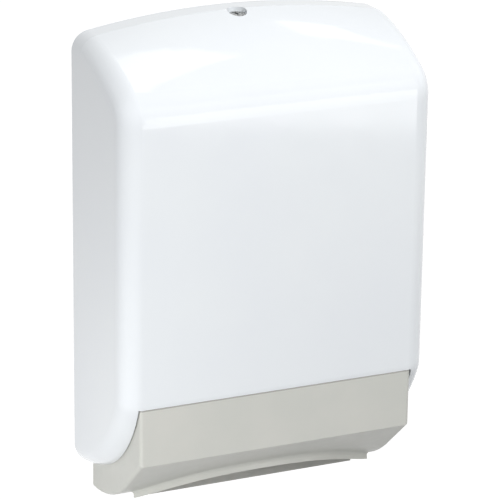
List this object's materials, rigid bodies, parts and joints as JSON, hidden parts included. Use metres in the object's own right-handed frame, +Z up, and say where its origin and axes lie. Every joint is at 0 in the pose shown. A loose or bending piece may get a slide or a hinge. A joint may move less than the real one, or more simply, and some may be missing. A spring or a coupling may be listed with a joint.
{
  "type": "lever paper towel dispenser",
  "caption": "Wall-mounted folded paper towel dispenser: locking cover that hinges open at the foot, over a lower housing with a bowed outlet mouth.",
  "frame": {"origin": "centre of the four wall screws, on the wall plane at the plate's back face", "axes": "+Z up, +Y into the wall, +X to the right as seen from the front"},
  "size_m": [0.3, 0.117, 0.4457],
  "materials": {
    "cover_plastic": "glossy white moulded plastic",
    "housing_plastic": "satin light grey moulded plastic",
    "guide_plastic": "satin grey moulded plastic",
    "inner_plastic": "matte pale grey moulded plastic",
    "washer_plastic": "natural nylon",
    "zinc_steel": "zinc-plated steel",
    "lock_metal": "satin nickel-plated die casting"
  },
  "bodies": {
    "chassis": {"back_plate": "inner_plastic", "outlet_housing": "housing_plastic", "mouth_guide": "guide_plastic", "housing_screws": "zinc_steel", "stack_guide_left": "inner_plastic", "stack_guide_right": "inner_plastic", "stack_guide_screws": "zinc_steel", "catch_bracket": "zinc_steel", "catch_screws": "zinc_steel", "hinge_pin_left": "zinc_steel", "hinge_pin_right": "zinc_steel", "hinge_washers": "washer_plastic"},
    "cover": {"cover_shell": "cover_plastic", "lock_body": "lock_metal", "lock_washer": "zinc_steel", "lock_nut": "zinc_steel"},
    "lock_cylinder": {"lock_plug": "lock_metal", "lock_cam": "zinc_steel", "cam_screw": "zinc_steel"}
  },
  "joints": [
    {"name": "cover_hinge", "type": "hinge", "parent": "chassis", "child": "cover", "pos_m": [0, -0.022, -0.185], "axis": [1, 0, 0], "range_deg": [0, 100]},
    {"name": "lock_turn", "type": "hinge", "parent": "cover", "child": "lock_cylinder", "pos_m": [-0.0031, -0.0252, 0.19], "axis": [0, 0, 1], "range_deg": [0, 90]}
  ]
}
